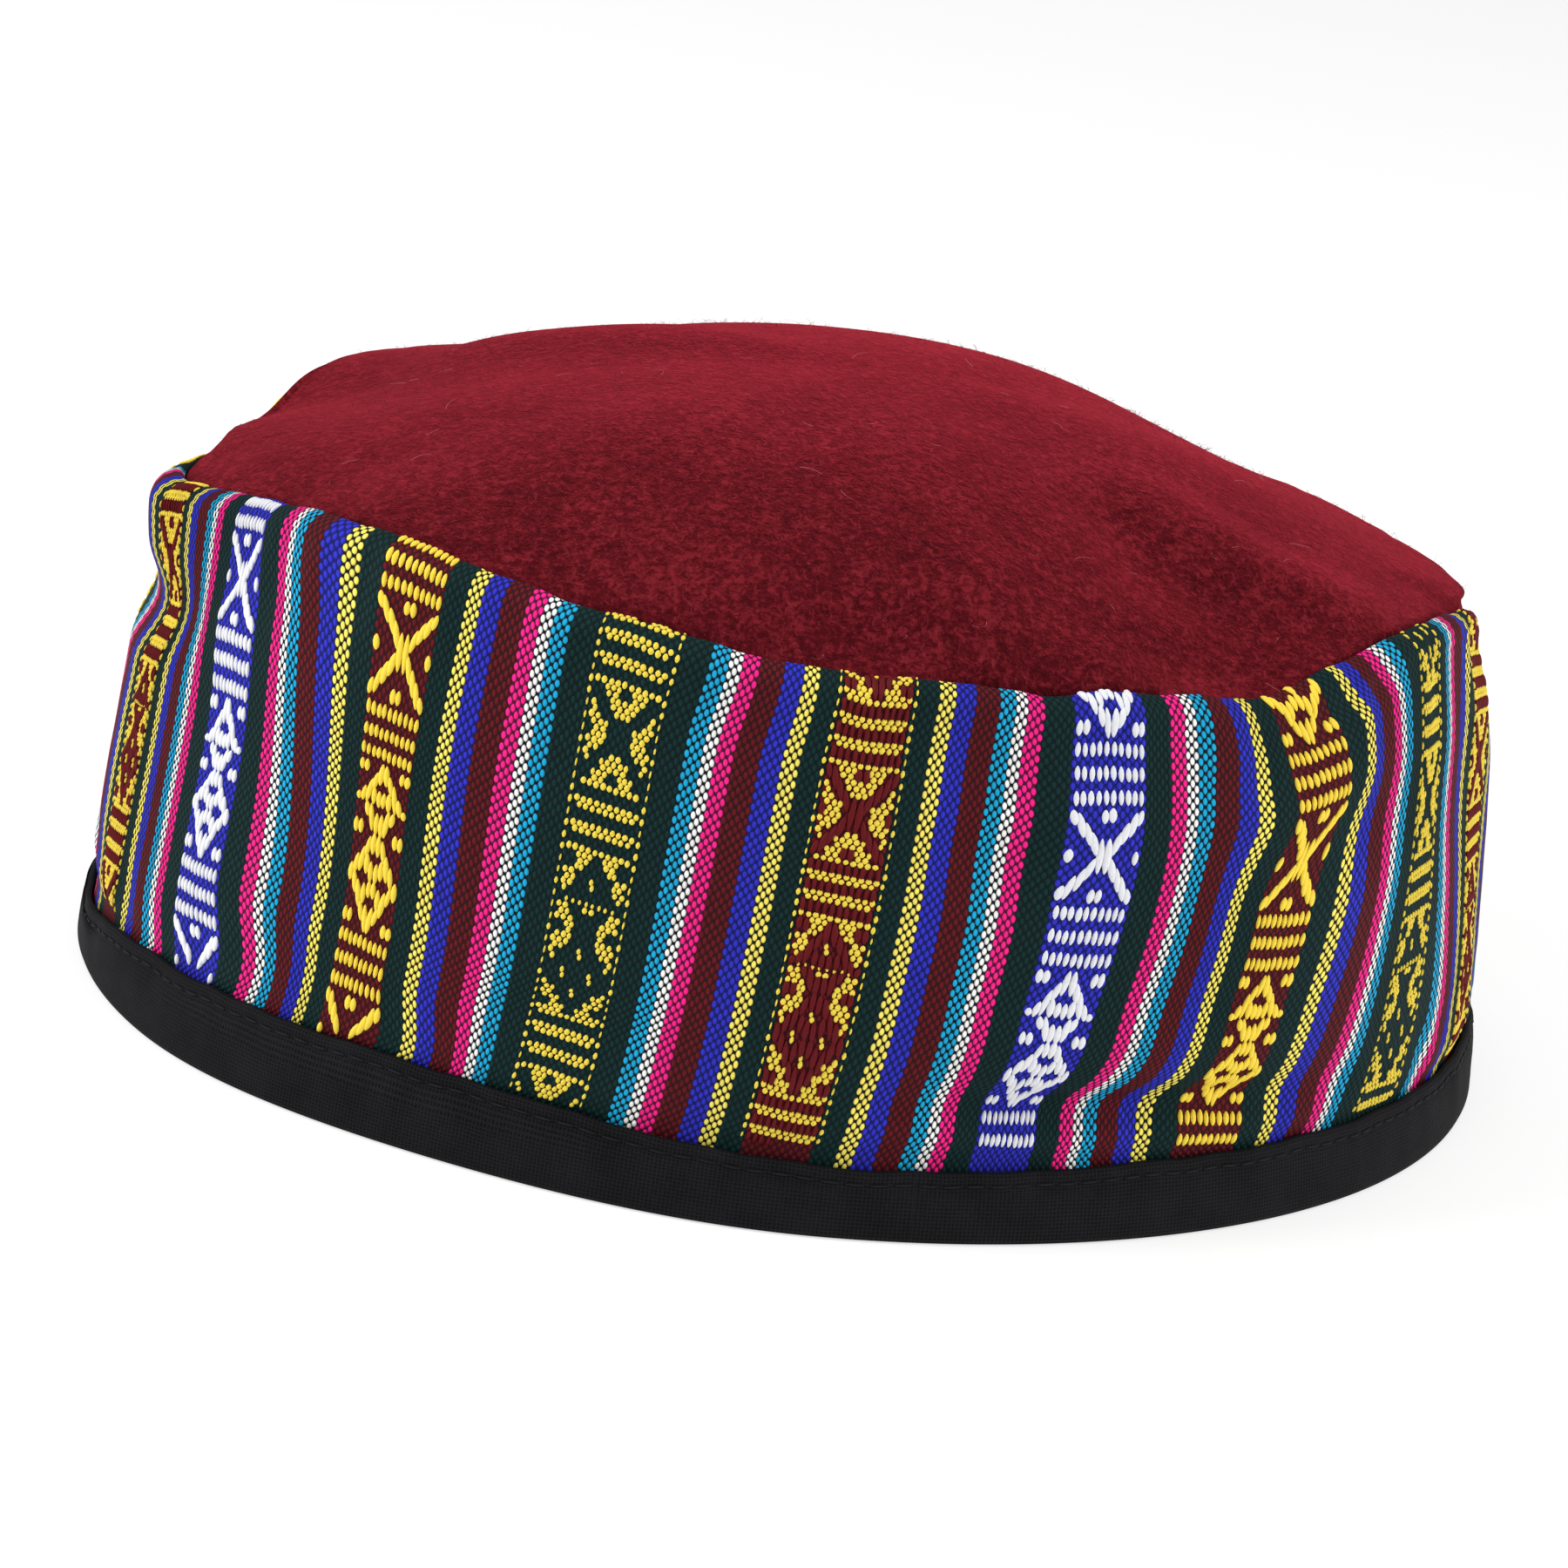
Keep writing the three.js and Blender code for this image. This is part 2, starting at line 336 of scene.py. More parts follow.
def fold_depth(angle, level):
    return ease(level, *FOLDS_START) * patches(angle, level, WALL_FOLDS)


def soft_folds(angle, level):
    return ease(level, *SOFT_START) * patches(angle, level, SOFT_FOLDS)


def puckers(angle, level):
    """Fine gathers below the seam and above the tape, and soft waves between them."""
    at_seam = ease(level, *SEAM_GATHERED) * ripple(angle, SEAM_GATHERS)
    at_tape = rise_and_fall(level, *TAPE_GATHERED) * ripple(angle, TAPE_GATHERS)
    twisted = angle + SOFT_WAVE_TWIST * level
    return at_seam + at_tape + rise_and_fall(level, *SOFT_WAVED) * ripple(twisted, SOFT_WAVES)


def wall_lift(angle, level):
    return swell(angle, SEAM_LIFT) * ease(level, *LIFT_LEVELS)


def far_share(angle):
    """1 along the far side, where the felt is drawn over the edge, and 0 along the near side."""
    return rise_and_fall(angle % 360, *FAR_SIDE)


def striped_face(angle, height):
    """A point of the striped face. Height is measured up the cloth, over the roll and down."""
    angle, height = np.broadcast_arrays(np.asarray(angle, float), np.asarray(height, float))
    top = seam_height(angle)
    far = far_share(angle)
    wall_top = (top + LIP_RISE - LIP - far * FAR_SINK) / top
    level = np.clip(height / LIP_START, 0, 1) * wall_top
    out = np.interp(level, *OUTER_CURVE) + fold_depth(angle, level) + puckers(angle, level)
    out = out + soft_folds(angle, level) - far * FAR_PULL * ease(level, *FAR_PULL_LEVELS)
    wall = wall_point(angle, level, out)
    past = np.clip(height - LIP_END, 0, None)
    turn = np.clip((height - LIP_START) / LIP_ARC, 0, 1) * math.pi / 2
    corner = np.clip(past / CORNER_ARC, 0, 1) * math.pi / 2
    edge_x, edge_y = seam_point(angle, (LIP - CORNER) * np.cos(turn) + CORNER * np.cos(corner))
    start_x, start_y = seam_point(angle, LIP)
    x = edge_x + (wall[..., 0] - start_x) * np.cos(turn)
    y = edge_y + (wall[..., 1] - start_y) * np.cos(turn)
    down = CORNER * (1 - np.cos(corner)) + np.clip(past - CORNER_ARC, 0, None)
    gathers = LIP_GATHER * ripple(angle + LIP_TURN, SEAM_GATHERS)
    up = LIP * np.sin(turn) + wall_lift(angle, level) + gathers * rise_and_fall(height, *LIP_GATHERED)
    return np.stack([x, y, wall[..., 2] + up - down], -1)


def inner_face(angle, level):
    out = np.interp(level, *INNER_CURVE) + fold_depth(angle, level) + soft_folds(angle, level)
    point = wall_point(angle, level, out)
    point[..., 2] += wall_lift(angle, level)
    return point


def dome_height(angle, share):
    power = DOME_POWER + swell(angle, DOME_RIDGES)
    edge = swell(angle, CORNERS_UP) * share ** 2
    return SEAM_HEIGHT + EDGE_RISE + edge + DOME_RISE * (1 - share ** power)


def felt_point(angle, share, lift=0.0):
    """The dome's outer face, with the felt's own soft shape. Share runs from its middle to its edge."""
    reach = FELT_REACH * far_share(angle) * rise_and_fall(share, *FELT_REACH_SHARES)
    settled = FELT_SETTLE * (1 - share ** 4)
    up = swell(angle, SEAM_LIFT) * share ** 5 - settled + patches(angle, share, FELT_UP)
    edge_x, edge_y = seam_point(angle, -GAP)
    pushed_x, pushed_y = seam_point(angle, -GAP + reach + patches(angle, share, FELT_OUT))
    x = DOME_TOP[0] + (edge_x - DOME_TOP[0]) * share + pushed_x - edge_x
    y = DOME_TOP[1] + (edge_y - DOME_TOP[1]) * share + pushed_y - edge_y
    return np.stack(np.broadcast_arrays(x, y, dome_height(angle, share) + up + lift), -1)


# ---- where the cloth's own pattern lies on the wall ----

ROUND = np.linspace(JOIN - 360, JOIN, 1441)
LEVELS = np.linspace(0, 1, 41)
RIM_LEVEL = 6           # the row of LEVELS that lies at the tape's upper edge
FAR_ANGLES = (80, 165)  # angles from 0 between which lengths become those at the rim
LEAN_LEVEL = 0.25       # level where a leaning stripe is in its own place
LEAN_LOST = 0.6         # share of the lean that is gone on the far side
SEARCHES = 30           # steps in which a place on the wall is found,
SEARCH_STEP = 0.55      # and how much of the way each one goes


def lengths_along(points):
    """The length from the first point to each one, by their first two numbers."""
    steps = np.hypot(*np.diff(points[:, :2], axis=0).T)
    return np.concatenate([[0], np.cumsum(steps)])


def read_table(table, row, column):
    """A table's numbers or points at places between its rows and columns."""
    i = np.clip(np.floor(row).astype(int), 0, table.shape[0] - 2)
    j = np.clip(np.floor(column).astype(int), 0, table.shape[1] - 2)
    down, over = row - i, column - j
    if table.ndim == 3:
        down, over = down[..., None], over[..., None]
    left = table[i, j] * (1 - down) + table[i + 1, j] * down
    right = table[i, j + 1] * (1 - down) + table[i + 1, j + 1] * down
    return left * (1 - over) + right * over


def arc_table():
    """Length round the wall from angle 0, a row for each level."""
    rows = []
    for level in LEVELS:
        out = np.interp(level, *OUTER_CURVE) + fold_depth(ROUND, level)
        length = lengths_along(wall_point(ROUND, level, out))
        rows.append(length - np.interp(0, ROUND, length))
    return np.array(rows)


ARCS = arc_table()
RIM_ARC = ARCS[RIM_LEVEL]
ROW_CURVE = smooth_table(ROW_RISE, steps=640, blur=24)


def arc_at(angle, level):
    return read_table(ARCS, level * (len(LEVELS) - 1), (angle - ROUND[0]) / (ROUND[1] - ROUND[0]))


def cloth_place(angle, height):
    """The cloth's own across and along at a place of the striped face."""
    level = np.clip(height / BAND_TALL, 0, 1)
    far = ease(np.abs(angle), *FAR_ANGLES)
    at_rim = np.interp(angle, ROUND, RIM_ARC)
    arc = arc_at(angle, level)
    arc = arc + far * (at_rim - arc)
    lean = LEAN * (level - LEAN_LEVEL) * (1 - LEAN_LOST * far)
    lost = sum(
        bunched * round_hump(angle, middle, width) * (1 - ease(level, full, starts))
        for middle, width, starts, full, bunched in BUNCHES
    )
    across = arc + FIRST_PANEL - lean + patches(angle, level, SWAY)
    return across, height - np.interp(at_rim, *ROW_CURVE) - lost


def wall_place(across, along):
    """The angle and height where a place of the cloth lies."""
    angle = np.interp(across - FIRST_PANEL, RIM_ARC, ROUND)
    height = np.array(along, float)
    for _ in range(SEARCHES):
        there_across, there_along = cloth_place(angle, height)
        angle = np.clip(angle + SEARCH_STEP * (across - there_across), ROUND[0], ROUND[-1])
        height = height + (along - there_along)
    return angle, height


NET_ACROSS = (-200.0, 420.0)
NET_ALONG = (-30.0, 110.0)
NET_STEP = 0.7


class ClothFace:
    """The striped face as a fine net over the cloth's own measures, with its normals."""

    def __init__(self):
        lines = [np.arange(*reach, NET_STEP) for reach in (NET_ACROSS, NET_ALONG)]
        self.angle, self.height = wall_place(*np.meshgrid(*lines, indexing="ij"))
        self.point = striped_face(self.angle, self.height)
        normal = np.cross(np.gradient(self.point, axis=0), np.gradient(self.point, axis=1))
        self.normal = normal / np.maximum(np.linalg.norm(normal, axis=-1, keepdims=True), 1e-9)

    def read(self, table, across, along):
        row, column = (across - NET_ACROSS[0]) / NET_STEP, (along - NET_ALONG[0]) / NET_STEP
        return read_table(table, row, column)

    def lay(self, places):
        """Points at across, along and how far they stand proud of the cloth."""
        point = self.read(self.point, places[..., 0], places[..., 1])
        normal = self.read(self.normal, places[..., 0], places[..., 1])
        return point + normal * places[..., 2:3]


# ---- meshes ----

def piece(name, points, faces, finishes):
    """A smooth mesh object whose points are given in millimetres."""
    mesh = bpy.data.meshes.new(name)
    mesh.from_pydata((np.asarray(points) * MM).tolist(), [], faces)
    mesh.update()
    for finish in finishes:
        mesh.materials.append(finish)
    mesh.shade_smooth()
    made = bpy.data.objects.new(name, mesh)
    bpy.context.scene.collection.objects.link(made)
    return made


def ring_faces(rings, around, closed):
    """Quads between neighbouring rings, and the ring and the column of each of their corners."""
    last = rings if closed else rings - 1
    ring, column = np.meshgrid(np.arange(last), np.arange(around), indexing="ij")
    ring, column = ring.ravel(), column.ravel()
    ring_at = np.stack([ring, ring, ring + 1, ring + 1], 1)
    column_at = np.stack([column, column + 1, column + 1, column], 1)
    return (ring_at % rings * around + column_at % around).tolist(), ring_at, column_at


def lay_map(made, name, across, along):
    """A UV map from one pair of numbers for each corner of each face."""
    layer = made.data.uv_layers.new(name=name)
    layer.data.foreach_set("uv", np.stack([across, along], -1).astype(np.float32).ravel())


def drop_selection():
    for chosen in list(bpy.context.selected_objects):
        chosen.select_set(False)
    bpy.context.view_layer.objects.active = None


def hand_on(made, node=None):
    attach(made, "root")
    if node:
        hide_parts(node)


# ---- finishes ----

def linear(red, green, blue):
    """A screen colour, 0 to 255, as the shader takes it."""
    def one(value):
        share = value / 255
        return share / 12.92 if share <= 0.04045 else ((share + 0.055) / 1.055) ** 2.4
    return (one(red), one(green), one(blue), 1.0)


DARK_GREEN = linear(13, 46, 46)
CYAN = linear(26, 168, 216)
WHITE = linear(248, 248, 246)
PINK = linear(255, 36, 142)
MAROON = linear(98, 20, 28)
BLUE = linear(48, 50, 192)
YELLOW = linear(252, 234, 104)
BETWEEN_BEADS = (0.003, 0.005, 0.006, 1.0)
TAPE_THREAD = 0.52                     # mm from one thread of the tape to the next
FIBRE_BEND = (0.0016, 0.0016, 0.0016)  # how far the felt's fibres wander from straight (m)


def operator(operation, swapped=False):
    """A Python operator that adds one node."""
    def apply(self, other):
        first, second = (other, self) if swapped else (self, other)
        return self.finish.maths(operation, first, second)
    return apply


class Value:
    """A shader number, so that sums on it read as plain sums."""

    def __init__(self, finish, socket):
        self.finish = finish
        self.socket = socket

    __add__ = __radd__ = operator("ADD")
    __mul__ = __rmul__ = operator("MULTIPLY")
    __sub__ = operator("SUBTRACT")
    __rsub__ = operator("SUBTRACT", swapped=True)
    __truediv__ = operator("DIVIDE")
    __pow__ = operator("POWER")
    __gt__ = operator("GREATER_THAN")
    most = operator("MAXIMUM")

    def floor(self):
        return self.finish.maths("FLOOR", self)

    def fract(self):
        return self.finish.maths("FRACT", self)

    def sine(self):
        return self.finish.maths("SINE", self)

    def clamp(self):
        return self.finish.maths("ADD", self, 0.0, clamp=True)


class Finish:
    """A material that is built up node by node."""

    def __init__(self, name, roughness=0.8, **constants):
        self.material = bpy.data.materials.new(name)
        self.material.use_nodes = True
        self.tree = self.material.node_tree
        self.shader = self.tree.nodes["Principled BSDF"]
        self.shader.inputs["Roughness"].default_value = roughness
        for socket, value in constants.items():
            self.shader.inputs[socket.replace("_", " ")].default_value = value

    def node(self, kind, settings=None, sockets=None):
        """Any node: its settings first, then its sockets."""
        made = self.tree.nodes.new(kind)
        for key, value in (settings or {}).items():
            if key == "color_ramp":
                self.set_ramp(made.color_ramp, *value)
            else:
                setattr(made, key, value)
        for key, value in (sockets or {}).items():
            if isinstance(value, Value):
                value = value.socket
            if isinstance(value, bpy.types.NodeSocket):
                self.tree.links.new(value, made.inputs[key])
            else:
                made.inputs[key].default_value = value
        return made

    @staticmethod
    def set_ramp(ramp, stops, interpolation):
        ramp.interpolation = interpolation
        while len(ramp.elements) > 1:
            ramp.elements.remove(ramp.elements[-1])
        ramp.elements[0].position, ramp.elements[0].color = stops[0]
        for place, colour in stops[1:]:
            ramp.elements.new(place).color = colour

    def maths(self, operation, *values, clamp=False):
        made = self.node("ShaderNodeMath", {"operation": operation, "use_clamp": clamp},
                         dict(enumerate(values)))
        return Value(self, made.outputs[0])

    def mix(self, share, first, second, blend="MIX"):
        made = self.node("ShaderNodeMix", {"data_type": "RGBA", "blend_type": blend},
                         {0: share, 6: first, 7: second})
        return made.outputs[2]

    def shaded(self, colour, shade):
        """A colour made darker or lighter by a number."""
        return self.mix(1.0, colour, self.vector(shade, shade, shade), "MULTIPLY")

    def brightness(self, colour):
        return Value(self, self.node("ShaderNodeRGBToBW", None, {0: colour}).outputs[0])

    def ramp(self, value, stops, interpolation="LINEAR"):
        made = self.node("ShaderNodeValToRGB", {"color_ramp": (stops, interpolation)},
                         {"Fac": value})
        return made.outputs["Color"]

    def soft(self, value, low, high):
        """0 below low, 1 above high and smooth between."""
        made = self.node("ShaderNodeMapRange", {"interpolation_type": "SMOOTHSTEP"},
                         {"Value": value, "From Min": low, "From Max": high})
        return Value(self, made.outputs[0])

    def noise(self, place, scale, detail=2.0, rough=0.5, stretch=None, turn=None):
        if stretch or turn:
            place = self.node("ShaderNodeMapping", None,
                              {"Vector": place, "Scale": stretch or (1, 1, 1),
                               "Rotation": turn or (0, 0, 0)}).outputs[0]
        made = self.node("ShaderNodeTexNoise", None,
                         {"Vector": place, "Scale": scale, "Detail": detail, "Roughness": rough})
        return Value(self, made.outputs[0])

    def object_place(self):
        return self.node("ShaderNodeTexCoord").outputs["Object"]

    def chance(self, x, y):
        """A random number for each pair."""
        made = self.node("ShaderNodeTexWhiteNoise", {"noise_dimensions": "2D"},
                         {"Vector": self.vector(x, y)})
        return Value(self, made.outputs[0])

    def map_place(self, name):
        return self.node("ShaderNodeUVMap", {"uv_map": name}).outputs[0]

    def parts(self, place):
        """The first two numbers of a place."""
        parts = self.node("ShaderNodeSeparateXYZ", None, {0: place}).outputs
        return Value(self, parts[0]), Value(self, parts[1])

    def vector(self, x, y, z=0.0):
        return self.node("ShaderNodeCombineXYZ", None, {0: x, 1: y, 2: z}).outputs[0]

    def finish(self, colour, height, strength, distance):
        """The material, once it has its colour and its relief."""
        self.tree.links.new(colour, self.shader.inputs["Base Color"])
        bump = self.node("ShaderNodeBump", None,
                         {"Strength": strength, "Distance": distance, "Height": height})
        self.tree.links.new(bump.outputs[0], self.shader.inputs["Normal"])
        return self.material


# threads in half a panel and their colour, and green threads beside it
PANEL_THREADS = {
    "C": (8.5, BLUE, 7), "D": (8, MAROON, 6), "A": (8.5, DARK_GREEN, 7), "B": (8, MAROON, 6),
}
# threads in a stripe and their colour, by its initial
STRIPES = {
    "c": (4, CYAN), "w": (3, WHITE), "p": (4, PINK), "m": (6, MAROON), "b": (5, BLUE),
    "y": (4, YELLOW),
}
# stripes from one panel to the next, left to right
BETWEEN = {"C": "pwcmby", "D": "ybmpwc", "A": "cwpmby", "B": "ybmcwp"}
HALF_REPEAT = PANEL_EVERY * len(PANELS) / 2


def stripe_stops(first):
    """Colours across two panels and the threads after each, as stops of half the repeat."""
    stops, at = [], 0.0
    for turn in (first, first + 1):
        half, ground, green = PANEL_THREADS[PANELS[turn]]
        next_half, next_ground, next_green = PANEL_THREADS[PANELS[(turn + 1) % len(PANELS)]]
        runs = [(half, ground), (green, DARK_GREEN)]
        runs += [STRIPES[name] for name in BETWEEN[PANELS[turn]]]
        runs += [(next_green, DARK_GREEN), (next_half, next_ground)]
        for count, colour in runs:
            stops.append((at * THREAD / HALF_REPEAT, colour))
            at += count
    return stops


def striped_finish():
    """Warp threads that show as two staggered sets of beads, coloured thread by thread."""
    cloth = Finish("striped_cotton", roughness=0.7, Specular_IOR_Level=0.1)
    place = cloth.map_place("cloth")
    across, along = cloth.parts(place)
    pair = 2 * THREAD
    column = across / pair
    row = along / BEAD_TALL

    def beads(shift):
        """How near its middle a bead of one set is, the thread's place and the bead's row."""
        middle = (column + shift).floor() + (0.5 - shift)
        bead_row = (row + shift).floor()
        aside = (column - middle) * (pair / BEAD_HALF_WIDE)
        above = (row + shift - bead_row - 0.5) * (BEAD_TALL / BEAD_HALF_TALL)
        return 1 - aside * aside - above * above, middle * pair, bead_row

    first, first_middle, first_row = beads(0.0)
    second, second_middle, second_row = beads(0.5)
    over = second > first
    height = first.most(second)
    middle = first_middle + (second_middle - first_middle) * over
    bead_row = first_row + (second_row - first_row) * over
    repeat = (middle / (2 * HALF_REPEAT)).fract() * 2
    early = cloth.ramp(repeat, stripe_stops(0), "CONSTANT")
    late = cloth.ramp(repeat - 1, stripe_stops(2), "CONSTANT")
    thread = cloth.mix(repeat > 1.0, early, late)
    uneven = cloth.chance(middle, bead_row) * 0.16 + cloth.noise(place, 0.09, 3.0) * 0.22 + 0.81
    thread = cloth.shaded(thread, uneven)
    gap_light = (0.6 + cloth.brightness(thread) * 1.2).clamp()
    # painted shade: each bead's colour is darkened towards its edges, standing in for the shade round a
    # raised bead
    thread = cloth.shaded(thread, cloth.soft(height, -0.15, 0.55) * 0.42 + 0.6)
    gap = (1 - cloth.soft(height, -0.16, 0.14)) * gap_light
    colour = cloth.mix(gap, thread, BETWEEN_BEADS)
    rounded = height.most(0.0) ** 0.6
    strands = cloth.noise(place, 3.2, 2.0, stretch=(3.0, 0.5, 1.0)) * 0.25
    return cloth.finish(colour, rounded + strands, strength=0.9, distance=0.00026)


def lining_finish():
    """The plain cotton inside the band."""
    plain = Finish("lining_cotton", roughness=0.85)
    place = plain.object_place()
    weave = plain.noise(place, 1800, 1.0, stretch=(1, 1, 0.5))
    mottle = plain.noise(place, 60, 3.0)
    stops = [(0.3, linear(20, 19, 21)), (0.7, linear(38, 36, 39))]
    colour = plain.ramp(weave * 0.4 + mottle * 0.6, stops)
    return plain.finish(colour, weave, strength=0.4, distance=0.0001)


def felt_finish():
    """Wool felt of dark and bright red fibres that lie in all directions."""
    wool = Finish("wool_felt", roughness=0.95, Specular_IOR_Level=0.06, Sheen_Weight=0.7,
                  Sheen_Roughness=0.4, Sheen_Tint=(0.85, 0.045, 0.085, 1.0))
    place = wool.object_place()
    wander = wool.node("ShaderNodeTexNoise", None, {"Vector": place, "Scale": 500.0, "Detail": 2.0})
    bent = wool.node("ShaderNodeVectorMath", {"operation": "MULTIPLY_ADD"},
                     {0: wander.outputs[1], 1: FIBRE_BEND, 2: place}).outputs[0]
    mottle = wool.noise(bent, 620, 5.0, 0.68)
    specks = wool.noise(bent, 1500, 3.0, 0.6)
    one_way, other_way = (
        wool.noise(bent, 2200, 2.0, 0.6, stretch=(0.22, 1.0, 0.6), turn=(0, 0, turn))
        for turn in (0.5, -0.9)
    )
    cloud = wool.noise(place, 70, 3.0, 0.6)
    fibres = one_way.most(other_way)
    tone = mottle * 0.5 + specks * 0.3 + cloud * 0.2
    base = wool.ramp(tone, [(0.4, linear(40, 2, 5)), (0.5, linear(71, 7, 14)),
                            (0.6, linear(112, 26, 35))])
    haze = wool.soft(fibres, 0.58, 0.78) * 0.34
    pale = wool.mix(haze, base, linear(150, 54, 62))
    pits = wool.soft(1 - specks, 0.54, 0.68) * 0.6
    colour = wool.mix(pits, pale, linear(58, 3, 12))
    relief = mottle * 0.7 + specks * 0.3 + fibres * 0.5
    return wool.finish(colour, relief, strength=0.8, distance=0.0007)


def tape_finish():
    """Fine black cotton."""
    cotton = Finish("black_cotton", roughness=0.8, Specular_IOR_Level=0.1)
    place = cotton.map_place("tape")
    ribs = [(way * (math.tau / TAPE_THREAD)).sine() * 0.5 + 0.5 for way in cotton.parts(place)]
    weave = ribs[0].most(ribs[1])
    fine = cotton.noise(place, 2.2, 2.0, stretch=(0.6, 3.0, 1.0))
    drift = cotton.noise(place, 0.16, 4.0)
    tone = fine * 0.35 + drift * 0.35 + weave * 0.3
    colour = cotton.ramp(tone, [(0.36, linear(3, 3, 4)), (0.7, linear(28, 28, 31))])
    return cotton.finish(colour, weave * 0.8 + fine * 0.6, strength=0.7, distance=0.00014)


def thread_finish(name, colour, dark):
    """Soft floats of many fine strands, with painted shade in the hollows between them."""
    yarn = Finish(name, roughness=0.6, Specular_IOR_Level=0.15)
    strands = yarn.noise(yarn.map_place("strand"), 1.0, 2.0, stretch=(9.0, 1.4, 1.0))
    # painted shade: the darker second colour is laid where the strands' relief is lowest, in the hollows
    # between them
    shade = yarn.mix(strands.clamp(), dark, colour)
    return yarn.finish(shade, strands, strength=0.35, distance=0.00012)


# ---- pieces ----

AROUND_BAND = 720
WALL_ROWS = 66
ROLL_ROWS = 18
INSIDE_ROWS = 24
# height on the cloth where the striped face ends
STRIPED_TOP = LIP_END + CORNER_ARC + SKIRT - 0.6
# level where the inner face ends
INSIDE_TOP = 0.9
# on the cloth's map: from the striped face to the first row inside, and from row to row there
INSIDE_AFTER, INSIDE_EVERY = 2.0, 3.0


def striped_band(striped, lining):
    """One closed padded wall: striped face, roll over the seam, and the plain face inside."""
    turns = np.linspace(ROUND[0], ROUND[-1], AROUND_BAND + 1)
    foot = WALL_FOOT * BAND_TALL
    up_wall = np.linspace(foot, LIP_START, WALL_ROWS)
    heights = np.concatenate([up_wall[:-1], np.linspace(LIP_START, STRIPED_TOP, ROLL_ROWS)])
    levels = np.linspace(INSIDE_TOP, WALL_FOOT, INSIDE_ROWS)
    outer = striped_face(turns[None, :-1], heights[:, None])
    inner = inner_face(turns[None, :-1], levels[:, None])
    points = np.concatenate([outer, inner]).reshape(-1, 3)
    quads, rings, columns = ring_faces(len(heights) + len(levels), AROUND_BAND, True)
    made = piece("striped_band", points, quads, [striped, lining])
    plain = rings[:, 0] >= len(heights) - 1
    made.data.polygons.foreach_set("material_index", plain.astype(np.int32))
    inside = STRIPED_TOP + INSIDE_AFTER + np.arange(INSIDE_ROWS) * INSIDE_EVERY
    map_heights = np.concatenate([heights, inside, [foot]])
    across, along = cloth_place(turns[None, :], map_heights[:, None])
    lay_map(made, "cloth", across[rings, columns], along[rings, columns])
    hand_on(made, "side_band")


AROUND_TAPE = 960
INNER = -(2 * TAPE + 2 * GAP + WALL)  # the tape's face inside the cap
# out, up, and 1 where the height follows the tape's upper edge
TAPE_SECTION = (
    (-SOLE, 0, 0), (-0.35, 0.22, 0), (0, SOLE, 0), (0.12, 2.5, 0), (0.2, 4.5, 0), (0.2, 6.5, 0),
    (0.12, 8.2, 1), (-0.08, 8.7, 1), (-0.08, 9.1, 1), (0.1, 9.6, 1), (0.02, 10.2, 1),
    (-0.3, TAPE_HEIGHT, 1), (-0.8, TAPE_HEIGHT, 1), (-TAPE, TAPE_HEIGHT - 0.4, 1),
    (-TAPE, 6, 1), (-TAPE, TAPE, 0), (INNER + TAPE, TAPE, 0), (INNER + TAPE, 5, 0),
    (INNER + TAPE, TAPE_INSIDE, 1), (INNER + 0.7, TAPE_INSIDE + 0.1, 1),
    (INNER + 0.1, TAPE_INSIDE - 0.3, 1), (INNER - 0.05, 8, 1), (INNER - 0.1, 5, 0),
    (INNER, SOLE, 0), (INNER + 0.35, 0.22, 0), (INNER + SOLE, 0, 0),
)
TAPE_WAVED = (1.0, 6.0)  # heights between which the soft waves of its face set in


def tape_edge(angle):
    """How far the tape's upper edge lies above or below its usual height."""
    return swell(angle, TAPE_STRETCHES + TAPE_DIPS) + ripple(angle, TAPE_WAVES)


def tape_face(angle):
    """How far the soft waves of the tape's outer face stand out."""
    return TAPE_GATHER * ripple(angle + TAPE_TURN, TAPE_GATHERS)


def rim_tape(finish):
    """A folded tape round the band's lower edge, soft and a little uneven at its top."""
    turns = np.linspace(0, 360, AROUND_TAPE + 1)
    angle = turns[:-1]
    rings = []
    for out, up, follows in TAPE_SECTION:
        level = (up + follows * tape_edge(angle)) / seam_height(angle)
        soft = tape_face(angle) * ease(up, *TAPE_WAVED) * (out > -TAPE)
        rings.append(wall_point(angle, level, out + soft))
    quads, rings_at, columns = ring_faces(len(rings), AROUND_TAPE, True)
    made = piece("rim_tape", np.concatenate(rings), quads, [finish])
    along = lengths_along(np.array(TAPE_SECTION + TAPE_SECTION[:1]))
    across = turns / 360 * RIM_LENGTH
    lay_map(made, "tape", across[columns], along[rings_at])
    hand_on(made, "rim_binding")


AROUND_CROWN = 360
# out, up: the edge that is turned down inside the band, from the felt's under side to its face
FELT_EDGE = (
    (-GAP - FELT, EDGE_RISE - FELT), (-GAP - FELT, -SKIRT), (SEWN_IN, -SKIRT), (SEWN_IN, -1.8),
    (-GAP, -0.7), (-GAP, EDGE_RISE - 0.4),
)
# shares of the way out from the dome's middle: its rings, and where its gathers set in
NEAR_EDGE = np.linspace(0.995, 0.945, 6)
TOWARDS_TOP = np.linspace(0.93, 0.03, 62)
FELT_GATHERED = (0.8, 0.985)
FELT_WAVED = (0.02, 0.3)  # shares in from its edge where its soft waves set in


